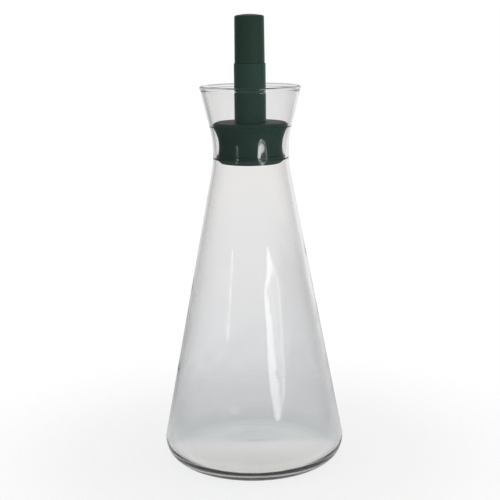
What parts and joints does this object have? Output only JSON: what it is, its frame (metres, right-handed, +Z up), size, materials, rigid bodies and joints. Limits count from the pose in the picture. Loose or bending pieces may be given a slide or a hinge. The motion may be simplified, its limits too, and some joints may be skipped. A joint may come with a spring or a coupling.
{
  "type": "glass carafe with stopper",
  "caption": "Conical clear glass carafe with a waisted neck, and a pull-out silicone-sleeved stopper with a long straight grip.",
  "frame": {"origin": "centre of the foot, on the plane that the carafe stands on", "axes": "+Z up along the axis of the glass and the stopper; the shape is a body of revolution, so X and Y are free"},
  "size_m": [0.118, 0.118, 0.2902],
  "materials": {
    "clear_glass": "clear, fire-polished",
    "green_silicone": "satin silicone",
    "green_plastic": "satin"
  },
  "bodies": {
    "glass": {"glass_body": "clear_glass"},
    "stopper": {"stopper_core": "green_plastic", "seal_sleeve": "green_silicone", "base_plug": "green_plastic", "stem_grip": "green_plastic"}
  },
  "joints": [
    {"name": "stopper_lift", "type": "slide", "parent": "glass", "child": "stopper", "axis": [0, 0, 1], "range_m": [0, 0.11]}
  ]
}
